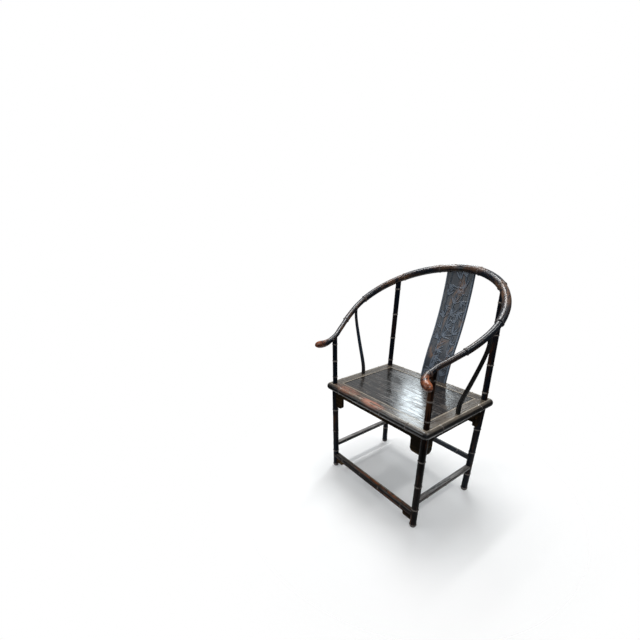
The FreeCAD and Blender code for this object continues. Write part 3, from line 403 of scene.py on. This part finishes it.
def lacquer(f):
    """Old dark lacquer: black over brown, thin and streaked along the grain, rubbed to brown where worn."""
    material, g = new_material(f.name)
    place = grain_place(g, f.grain)
    streaks = g.noise(place, along=0.06, scale=160.0, distort=0.3)
    patches = g.noise(place, along=0.35, scale=14.0, detail=3.0, rough=0.55, distort=0.4)
    fine = g.noise(place, along=0.04, scale=600.0, detail=3.0)
    grime = g.noise(place, along=1.0, scale=45.0)
    colour = lacquer_colour(g, f, streaks, patches, fine, grime)
    dull = g.total(f.gloss, (g.step(streaks, *DULL_STREAKS), DULL_SHARE),
                   (g.step(grime, *DULL_GRIME), DULL_SHARE))
    height = g.weigh(BUMP_WEIGHTS, streaks, fine, grime)
    g.shade(colour, dull, height, f.bump, LACQUER_DEPTH, f.specular, f.coat, COAT_DULL)
    return material


# Seat panel: weights of streaks and fine lines, where the lines turn brown and the grime pale, and
# what both add to the dullness
PANEL_WEIGHTS = (0.6, 0.4)
PANEL_BROWNED = (0.44, 0.60)
PANEL_PALED, PANEL_PALE_SHARE = (0.56, 0.68), 0.3
PANEL_DULL = 0.10
PANEL_DULL_LINES, PANEL_LINES_SHARE = (0.42, 0.60), 0.22
PANEL_DULL_GRIME, PANEL_GRIME_SHARE = (0.46, 0.66), 0.10


def panel_lacquer():
    """Worn planks that still mirror a window: the gloss is streaked along the grain."""
    material, g = new_material("panel_lacquer")
    place = grain_place(g, "x")
    streaks = g.noise(place, along=0.05, scale=90.0, detail=5.0, distort=0.2)
    fine = g.noise(place, along=0.03, scale=420.0)
    grime = g.noise(place, along=1.0, scale=28.0)
    lines = g.weigh(PANEL_WEIGHTS, streaks, fine)
    colour = g.mix(g.step(lines, *PANEL_BROWNED), BLACK, PANEL_BROWN)
    colour = g.mix(g.times(g.step(grime, *PANEL_PALED), PANEL_PALE_SHARE), colour, TOP_STREAK)
    dull = g.total(PANEL_DULL, (g.step(lines, *PANEL_DULL_LINES), PANEL_LINES_SHARE),
                   (g.step(grime, *PANEL_DULL_GRIME), PANEL_GRIME_SHARE))
    g.shade(colour, dull, lines, bump=0.4, depth=0.0004, specular=1.0, coat=0.12, coat_dull=0.25)
    return material


# Splat: where its streaks and its brown patches show, the heights that are rubbed and given a painted
# highlight and the grime that spares them, and the heights of the crease round each raised form, darkened as
# painted shade
CARVED_WEIGHTS = (0.5, 0.5)
CARVED_STREAKS = (0.40, 0.68)
CARVED_BROWNED, CARVED_BROWN_SHARE = (0.54, 0.66), 0.8
CARVED_RUBBED, CARVED_GRIME, CARVED_RUBBED_SHARE = (0.45, 0.95), (0.30, 0.50), 0.75
# The crease round each raised form is darkened as painted shade
CREASE_START, CREASE_END, CREASE_SHADE_SHARE = (-0.01, 0.02), (0.40, 0.10), 0.6
CARVED_DULL, CARVED_DULL_GRIME = 0.30, 0.25


def splat_lacquer():
    """Dark lacquer with a painted cool sheen, rubbed lighter with a painted highlight on the raised carving,
    painted shade in the creases round it, and brown showing through in places.
    """
    material, g = new_material("splat_lacquer")
    place = grain_place(g, "z")
    streaks = g.noise(place, along=0.08, scale=150.0, distort=0.3)
    patches = g.noise(place, along=0.4, scale=20.0, detail=3.0, rough=0.55, distort=0.5)
    grime = g.noise(place, along=1.0, scale=70.0)
    height = g.add("Attribute", output=2, attribute_name="carved")
    # Ground and streaks carry a painted cool sheen
    colour = g.mix(g.step(streaks, *CARVED_STREAKS), SPLAT_SHEEN_GROUND, SPLAT_SHEEN_STREAK)
    colour = g.mix(g.times(g.step(patches, *CARVED_BROWNED), CARVED_BROWN_SHARE), colour, SPLAT_BROWN)
    # The raised carving gets wear and a painted highlight
    raised = g.times(g.step(height, *CARVED_RUBBED), g.step(grime, *CARVED_GRIME))
    colour = g.mix(g.times(raised, CARVED_RUBBED_SHARE), colour, SPLAT_RAISED_WEAR_AND_HIGHLIGHT)
    # Painted shade in the crease round each raised form
    crease_painted_shade = g.times(g.step(height, *CREASE_END), g.step(height, *CREASE_START))
    colour = g.mix(g.times(crease_painted_shade, CREASE_SHADE_SHARE), colour, BLACK)
    dull = g.total(CARVED_DULL, (grime, CARVED_DULL_GRIME))
    rough = g.weigh(CARVED_WEIGHTS, streaks, grime)
    g.shade(colour, dull, rough, bump=0.3, depth=0.0005, specular=0.6, coat=0.4, coat_dull=0.2)
    return material


def finish_all(starts, material):
    """Give the material to every node whose name starts so."""
    for name, node in nodes.items():
        if name.startswith(starts):
            node.data.materials.clear()
            node.data.materials.append(material)


# The same splat as the frame's own, in metres: foot, turn and top of its middle, and its leaning start
SPLAT_FOOT = (0.171, 0.467)
SPLAT_TOP = (0.262, 0.930)
SPLAT_TURN_SHARES = (0.396, 0.332)
SPLAT_LEAN = 0.125
SPLAT_HALF_THICK = 0.006
SPLAT_FOOT_HALF, SPLAT_TOP_HALF = 0.0665, 0.062
SPLAT_END = 0.9215
SPLAT_LOW_POINTS, SPLAT_HIGH_POINTS = 400, 800
SPLAT_EDGE = 0.0012
SMOOTH_ANGLE = math.radians(50)

# The carving: its depth, its border line, the height marked on the plain back, and the mesh's step
CARVING_DEPTH = 0.0016
BORDER = 0.0075
BORDER_GAP = 0.0008
BORDER_SOFT = 0.001
BACK_MARK = 0.5
GRID = 0.0010


def arc_points(start, tangent, end, count):
    """Points and directions along the arc that leaves start along the tangent and ends at end."""
    chord = end - start
    along = chord @ tangent
    normal = chord - tangent * along
    normal = normal / np.linalg.norm(normal)
    radius = (chord @ chord) / (2 * (chord @ normal))
    sweep = 2 * np.arctan2(chord @ normal, along)
    angle = np.linspace(0, sweep, count)[:, None]
    spots = start + normal * radius * (1 - np.cos(angle)) + tangent * radius * np.sin(angle)
    return spots, tangent * np.cos(angle) + normal * np.sin(angle)


def splat_line():
    """Middle line of the splat from the frame to inside the rail: places and directions in y and z."""
    foot, top = np.array(SPLAT_FOOT), np.array(SPLAT_TOP)
    lean = np.array((SPLAT_LEAN, 1.0))
    lean = lean / np.linalg.norm(lean)
    turn = foot + (top - foot) * np.array(SPLAT_TURN_SHARES)
    low, low_ways = arc_points(foot - lean * 2 * SPLAT_HALF_THICK, lean, turn, SPLAT_LOW_POINTS)
    high, high_ways = arc_points(turn, low_ways[-1], top, SPLAT_HIGH_POINTS)
    spots, ways = np.vstack((low, high[1:])), np.vstack((low_ways, high_ways[1:]))
    travel = np.concatenate(([0.0], np.cumsum(np.linalg.norm(np.diff(spots, axis=0), axis=1))))
    first = np.interp(foot[1], spots[:, 1], travel)
    last = np.interp(SPLAT_END, spots[:, 1], travel)
    marks = np.linspace(first, last, int(round((last - first) / GRID)) + 1)
    place = np.stack([np.interp(marks, travel, spots[:, n]) for n in range(2)], 1)
    way = np.stack([np.interp(marks, travel, ways[:, n]) for n in range(2)], 1)
    return place, way / np.linalg.norm(way, axis=1)[:, None], marks - first


# A leaf's outline and vein, and the ridge and the line at a cane's joints
LEAF_SHAPE = 0.8
VEIN_DEPTH, VEIN_HALF = 0.45, 0.0005
JOINT_SWELL, JOINT_SWELL_HALF = 0.35, 0.0016
JOINT_LINE_DEPTH, JOINT_LINE_OFF, JOINT_LINE_HALF = 0.5, 0.0022, 0.0007


def bell(off, half):
    """1 in the middle, falling away smoothly over about half."""
    return np.exp(-(off / half) ** 2)


def leaf(u, v, root, angle, long, wide):
    """A pointed leaf with a vein: full at its middle, with a sunk line along it."""
    du, dv = u - root[0], v - root[1]
    along = (du * math.sin(angle) + dv * math.cos(angle)) / long
    across = np.abs(du * math.cos(angle) - dv * math.sin(angle))
    inside = np.clip(along, 0.0, 1.0)
    half = wide * np.sin(np.pi * inside ** LEAF_SHAPE) ** LEAF_SHAPE + 1e-6
    body = np.clip(1.0 - (across / half) ** 2, 0.0, 1.0) ** 0.5
    body = body - VEIN_DEPTH * bell(across, VEIN_HALF) * (body > 0)
    return np.where((along > 0) & (along < 1), np.clip(body, 0.0, 1.0), 0.0)


def cane(u, v, points, wide, joint_step):
    """A cane along straight runs, with a ridge at each joint."""
    best = np.full(u.shape, 1.0)
    total = np.zeros(u.shape)
    passed = 0.0
    for (u0, v0), (u1, v1) in zip(points, points[1:]):
        long = math.hypot(u1 - u0, v1 - v0)
        share = np.clip(((u - u0) * (u1 - u0) + (v - v0) * (v1 - v0)) / long ** 2, 0.0, 1.0)
        off = np.hypot(u - u0 - share * (u1 - u0), v - v0 - share * (v1 - v0))
        nearer = off < best
        best = np.where(nearer, off, best)
        total = np.where(nearer, passed + share * long, total)
        passed += long
    joint = np.abs((total + joint_step / 2) % joint_step - joint_step / 2)
    half = wide * (1.0 + JOINT_SWELL * bell(joint, JOINT_SWELL_HALF))
    body = np.clip(1.0 - (best / half) ** 2, 0.0, 1.0) ** 0.5
    return body * (1.0 - JOINT_LINE_DEPTH * bell(joint - JOINT_LINE_OFF, JOINT_LINE_HALF))


# Canes of the carving: points from the foot up, half width, and the distance between joints
CANES = (
    (((-0.034, 0.0), (-0.024, 0.15), (-0.004, 0.30), (0.012, 0.47)), 0.0036, 0.058),
    (((0.030, 0.0), (0.036, 0.12), (0.026, 0.26), (0.034, 0.47)), 0.0028, 0.047),
    (((-0.010, 0.0), (-0.030, 0.20), (-0.040, 0.33), (-0.036, 0.47)), 0.0022, 0.040),
)
CANE_RISE = 0.85

# Tufts of leaves along the canes: how they lean, how many turn downwards, and their leaves
CARVING_SEED = 11
LEAF_TUFTS = 30
TUFT_LEAN = 1.1
TUFT_DOWN_SHARE, TUFT_DOWN_TURN = 0.4, 2.4
TUFT_SPREAD, TUFT_JITTER = 0.42, 0.12
TUFT_LEAVES = (3, 6)
LEAF_LONG = (0.030, 0.054)
LEAF_WIDE = (0.0030, 0.0044)


def carving(u, v, half):
    """Height of the relief from 0, the sunk ground, to 1: canes, tufts of leaves and a border line."""
    rng = np.random.default_rng(CARVING_SEED)
    height = np.zeros(u.shape)
    for points, wide, joint_step in CANES:
        height = np.maximum(height, CANE_RISE * cane(u, v, points, wide, joint_step))
    top = v.max()
    for n in range(LEAF_TUFTS):
        points = CANES[n % len(CANES)][0]
        at = top * (n + 0.5) / LEAF_TUFTS
        root_u = np.interp(at, [p[1] for p in points], [p[0] for p in points])
        lean = rng.uniform(-TUFT_LEAN, TUFT_LEAN)
        lean += TUFT_DOWN_TURN if rng.random() < TUFT_DOWN_SHARE else 0.0
        for k in range(rng.integers(*TUFT_LEAVES)):
            angle = lean + (k - 2) * TUFT_SPREAD + rng.uniform(-TUFT_JITTER, TUFT_JITTER)
            long, wide = rng.uniform(*LEAF_LONG), rng.uniform(*LEAF_WIDE)
            height = np.maximum(height, leaf(u, v, (root_u, at), angle, long, wide))
    inside = np.clip((half - BORDER - np.abs(u)) / BORDER_SOFT, 0.0, 1.0)
    rim = np.clip((np.abs(u) - half + BORDER - BORDER_GAP) / BORDER_SOFT, 0.0, 1.0)
    return height * inside + rim


def carved_splat():
    """Closed board with its carved front, in the place of the plain one."""
    place, way, travel = splat_line()
    rows = len(travel)
    columns = int(round(2 * SPLAT_FOOT_HALF / GRID)) + 1
    share = np.linspace(-1.0, 1.0, columns)
    rise = (place[:, 1] - SPLAT_FOOT[1]) / (SPLAT_TOP[1] - SPLAT_FOOT[1])
    half = SPLAT_FOOT_HALF + (SPLAT_TOP_HALF - SPLAT_FOOT_HALF) * rise
    u = half[:, None] * share[None, :]
    v = np.repeat(travel[:, None], columns, 1)
    height = carving(u, v, half[:, None])
    edge = np.clip((half[:, None] - np.abs(u)) / SPLAT_EDGE, 0.0, 1.0)
    front = SPLAT_HALF_THICK - CARVING_DEPTH * (1.0 - height) - SPLAT_EDGE * (1.0 - edge)
    rear = np.where(edge < 1.0, -SPLAT_HALF_THICK + SPLAT_EDGE, -SPLAT_HALF_THICK)
    y, z = place[:, None, 0], place[:, None, 1]
    ahead_y, ahead_z = -way[:, None, 1], way[:, None, 0]
    sides = [np.stack((u, y + ahead_y * out, z + ahead_z * out), -1).reshape(-1, 3) for out in (front, rear)]
    spots = np.vstack(sides)
    spots[:, 2] = np.maximum(spots[:, 2], SPLAT_FOOT[1])
    grid = np.arange(rows * columns).reshape(rows, columns)
    a, b, c, d = grid[:-1, :-1], grid[:-1, 1:], grid[1:, 1:], grid[1:, :-1]
    back = rows * columns
    faces = [np.stack((a, b, c, d), -1).reshape(-1, 4), np.stack((d, c, b, a), -1).reshape(-1, 4) + back]
    ring = np.concatenate((grid[0, :-1], grid[:-1, -1], grid[-1, :0:-1], grid[:0:-1, 0]))
    after = np.roll(ring, -1)
    faces.append(np.stack((after, ring, ring + back, after + back), -1))
    mesh = bpy.data.meshes.new("splat_carved")
    mesh.from_pydata(spots.tolist(), [], np.vstack(faces).tolist())
    carved = mesh.attributes.new("carved", "FLOAT", "POINT")
    marks = np.concatenate((height.ravel(), np.full(back, BACK_MARK)))
    carved.data.foreach_set("value", marks.astype(np.float32))
    mesh.shade_smooth()
    mesh.set_sharp_from_angle(angle=SMOOTH_ANGLE)
    board = bpy.data.objects.new("splat_carved", mesh)
    bpy.context.scene.collection.objects.link(board)
    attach(board, "root")
    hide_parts("back_splat")
    mesh.materials.append(splat_lacquer())


# Lacquers of the pieces, by the starts of the nodes' names
FRONT_UPRIGHT = dict(rings=LEG_RINGS + FRONT_POST_RINGS, ring_share=0.8, worn=0.65, gloss=0.2, specular=0.06,
                     coat=0.04, under=LEG_BROWN)
SUPPORT = dict(worn=0.2, gloss=0.2, specular=0.5, coat=0.3)
APRON = dict(worn=0.3, gloss=0.4, specular=0.02, coat=0.0, body=APRON_BLACK, under=APRON_BROWN)
# The rail, rear uprights, right front leg, right side support and rear stretcher have a painted blue sheen
# in their black
LACQUERS = (
    (("crest_rail", "rail_scarf"), Finish(
        "rail_lacquer", "rail", rings=RAIL_RINGS, worn=1.0, gloss=0.2, coat=0.2, body=BLACK_WITH_PAINTED_BLUE_SHEEN,
        rubbed=GOLD, bump=0.0, patches=(
            ((0.285, -0.245, 0.655), (0.045, 0.05, 0.05), 0.75, ORANGE),
            ((0.25, 0.13, 0.875), (0.10, 0.12, 0.07), 0.5, GOLD),
            ((0.09, 0.255, 0.935), (0.10, 0.05, 0.03), 0.4, GOLD)))),
    ("front_leg_left", Finish("front_leg_left_lacquer", "z", **FRONT_UPRIGHT)),
    # The right front leg differs from the left one only by the painted blue sheen in its black
    ("front_leg_right", Finish("front_leg_right_painted_sheen_lacquer", "z", body=BLACK_WITH_PAINTED_BLUE_SHEEN, **FRONT_UPRIGHT)),
    ("rear_leg", Finish(
        "rear_upright_lacquer", "z", rings=LEG_RINGS + REAR_POST_RINGS, ring_share=0.8, worn=0.65, gloss=0.2,
        specular=0.1, coat=0.06, body=BLACK_WITH_PAINTED_BLUE_SHEEN, under=LEG_BROWN)),
    ("side_support_left", Finish("side_support_left_lacquer", "z", **SUPPORT)),
    # The right side support differs from the left one only by the painted blue sheen in its black
    ("side_support_right", Finish("side_support_right_painted_sheen_lacquer", "z", body=GREY_WITH_PAINTED_BLUE_SHEEN, **SUPPORT)),
    ("seat_frame_front", Finish(
        "front_frame_lacquer", "x", rings=FRONT_FRAME_RINGS, worn=0.5, gloss=0.2, specular=0.45, coat=0.4,
        top=(TOP_BROWN, TOP_STREAK), lines=True, patches=(
            # Salmon wear on the front rod, made paler by a painted sheen
            ((0.0, -0.212, 0.462), (0.085, 0.025, 0.03), 0.85, SALMON_WEAR_AND_SHEEN),
            ((-0.16, -0.205, 0.465), (0.10, 0.035, 0.02), 0.5, RUSSET)))),
    ("seat_frame_rear", Finish(
        "rear_frame_lacquer", "x", rings=REAR_FRAME_RINGS, worn=0.5, gloss=0.22, specular=0.45, coat=0.3,
        top=(TOP_BROWN, TOP_STREAK), lines=True)),
    (("seat_frame_left", "seat_frame_right"), Finish(
        "side_frame_lacquer", "y", rings=SIDE_FRAME_RINGS, worn=0.5, gloss=0.22, specular=0.6, coat=0.4,
        top=(TOP_OLIVE, TOP_STREAK), lines=True)),
    (("front_apron", "rear_apron", "footrest_apron"), Finish("front_apron_lacquer", "x", **APRON)),
    (("left_apron", "right_apron", "seat_batten"), Finish("side_apron_lacquer", "y", **APRON)),
    ("footrest_stretcher", Finish(
        "footrest_lacquer", "x", rings=BAR_RINGS, gloss=0.35, specular=0.1, coat=0.05, under=LEG_BROWN,
        top=(TOP_DARK, TOP_PALE), patches=(
            ((0.06, -0.1990, 0.075), (0.24, 0.0080, 0.02), 1.0, RUSSET),
            # A thin painted highlight along the footrest's top edge
            ((0.04, -0.1890, 0.075), (0.34, 0.0050, 0.02), 1.0, LINE_PAINTED_HIGHLIGHT),
            ((0.12, -0.2130, 0.056), (0.14, 0.008, 0.010), 0.8, RUSSET)))),
    ("rear_stretcher", Finish(
        "rear_stretcher_lacquer", "x", rings=BAR_RINGS, worn=0.3, specular=0.3, coat=0.2, body=GREY_WITH_PAINTED_BLUE_SHEEN)),
    ("side_stretcher", Finish(
        # Its up-facing top gets a painted highlight
        "side_stretcher_lacquer", "y", rings=SIDE_BAR_RINGS, worn=0.7, coat=0.2, top=(TOP_HIGHLIGHT_GREY, TOP_HIGHLIGHT_STREAK))),
)

for starts, finish in LACQUERS:
    finish_all(starts, lacquer(finish))
finish_all("seat_panel", panel_lacquer())
carved_splat()


# Studio: strips over the chair give the rail its narrow highlights, the window shines on the seat.
# A lamp has a name, a place, an aim, a size, a power and a colour.
WHITE = (1.0, 1.0, 1.0, 1.0)
STRIP_Y, STRIP_Z = 0.15, 2.4
STRIP_SIZE = (0.14, 1.6)
STRIPS = ((-1.25, 8), (-0.65, 16), (1.2, 14))
LAMPS = (
    ("back_window", (-1.05, 1.57, 1.60), (0, 0, 0.47), (0.45, 0.55), 6.5, (0.85, 0.95, 1.0)),
    *(("strip_%d" % count, (x, STRIP_Y, STRIP_Z), (x, STRIP_Y, 0), STRIP_SIZE, power, WHITE[:3])
      for count, (x, power) in enumerate(STRIPS)),
    ("overhead", (-0.3, 0.25, 2.5), (-0.3, 0.25, 0), (0.8, 0.8), 20, (1.0, 0.99, 0.97)),
    ("front_fill", (-1.3, -2.2, 1.5), (0, 0, 0.6), (1.3, 1.3), 12, (0.94, 0.98, 1.0)),
)

# The floor is matte with a little glow for the camera, and fades into the backdrop away from the chair
FLOOR_REACH = 4.0
FLOOR_GREY = (0.82, 0.82, 0.82, 1.0)
FLOOR_GLOW = 0.17
FLOOR_FADE = (0.42, 0.95)

# The room as the lacquer mirrors it: dim at eye level, bright above, behind and a little in front
ROOM_LOW, ROOM_TOP, ROOM_TOP_RISE = 0.06, 0.42, (0.25, 0.9)
ROOM_BRIGHT, ROOM_BRIGHT_WAY, ROOM_BRIGHT_FADE = 0.38, (-0.60, 0.66, 0.45), (0.75, 0.99)
ROOM_FRONT, ROOM_FRONT_WAY, ROOM_FRONT_FADE = 0.12, (0.79, -0.61, 0.0), (0.75, 0.98)
ROOM_FRONT_RISE = (-0.55, -0.10)
ROOM_COLOUR = (0.95, 0.98, 1.0, 1.0)
ROOM_FRONT_COLOUR = (0.40, 0.72, 1.0, 1.0)


def area_lamp(name, spot, aim, size, power, colour):
    data = bpy.data.lights.new(name, "AREA")
    data.shape = "RECTANGLE"
    data.size, data.size_y = size
    data.energy = power
    data.color = colour
    lamp = bpy.data.objects.new(name, data)
    lamp.location = spot
    lamp.rotation_mode = "QUATERNION"
    lamp.rotation_quaternion = (Vector(aim) - Vector(spot)).to_track_quat("-Z", "Y")
    bpy.context.scene.collection.objects.link(lamp)


def make_floor():
    mesh = bpy.data.meshes.new("floor")
    corners = [(-1, -1), (1, -1), (1, 1), (-1, 1)]
    mesh.from_pydata([(x * FLOOR_REACH, y * FLOOR_REACH, 0) for x, y in corners], [], [(0, 1, 2, 3)])
    floor = bpy.data.objects.new("floor", mesh)
    bpy.context.scene.collection.objects.link(floor)
    material, g = new_material("floor_white")
    seen = g.add("LightPath", output=0)
    out = g.length(g.place())
    matte = g.add("BsdfDiffuse", {"Color": FLOOR_GREY})
    glow = g.add("Emission", {"Color": WHITE, "Strength": g.times(seen, FLOOR_GLOW)})
    lit = g.add("AddShader", {0: matte, 1: glow})
    clear = g.add("BsdfTransparent")
    faded = g.add("MixShader", {0: g.step(out, *FLOOR_FADE), 1: lit, 2: clear})
    g.add("OutputMaterial", {"Surface": faded})
    mesh.materials.append(material)


def make_world():
    """White for the camera, and the dim room for everything else."""
    world = bpy.data.worlds.new("world")
    bpy.context.scene.world = world
    world.use_nodes = True
    g = Graph(world.node_tree)
    seen = g.add("LightPath", output=0)
    way = g.add("TexCoord", output=0)
    up = g.parts(way)[2]
    room = g.total(ROOM_LOW, (g.step(up, *ROOM_TOP_RISE), ROOM_TOP - ROOM_LOW),
                   (g.step(g.dot(way, ROOM_BRIGHT_WAY), *ROOM_BRIGHT_FADE), ROOM_BRIGHT))
    front = g.times(g.step(g.dot(way, ROOM_FRONT_WAY), *ROOM_FRONT_FADE), g.step(up, *ROOM_FRONT_RISE))
    room = g.total(room, (front, ROOM_FRONT))
    strength = g.plus(g.times(room, g.minus(1.0, seen)), seen)
    colour = g.mix(seen, g.mix(front, ROOM_COLOUR, ROOM_FRONT_COLOUR), WHITE)
    g.add("OutputWorld", {"Surface": g.add("Background", {"Color": colour, "Strength": strength})})


make_floor()
make_world()
for lamp in LAMPS:
    area_lamp(*lamp)
bpy.context.scene.view_settings.view_transform = "Standard"
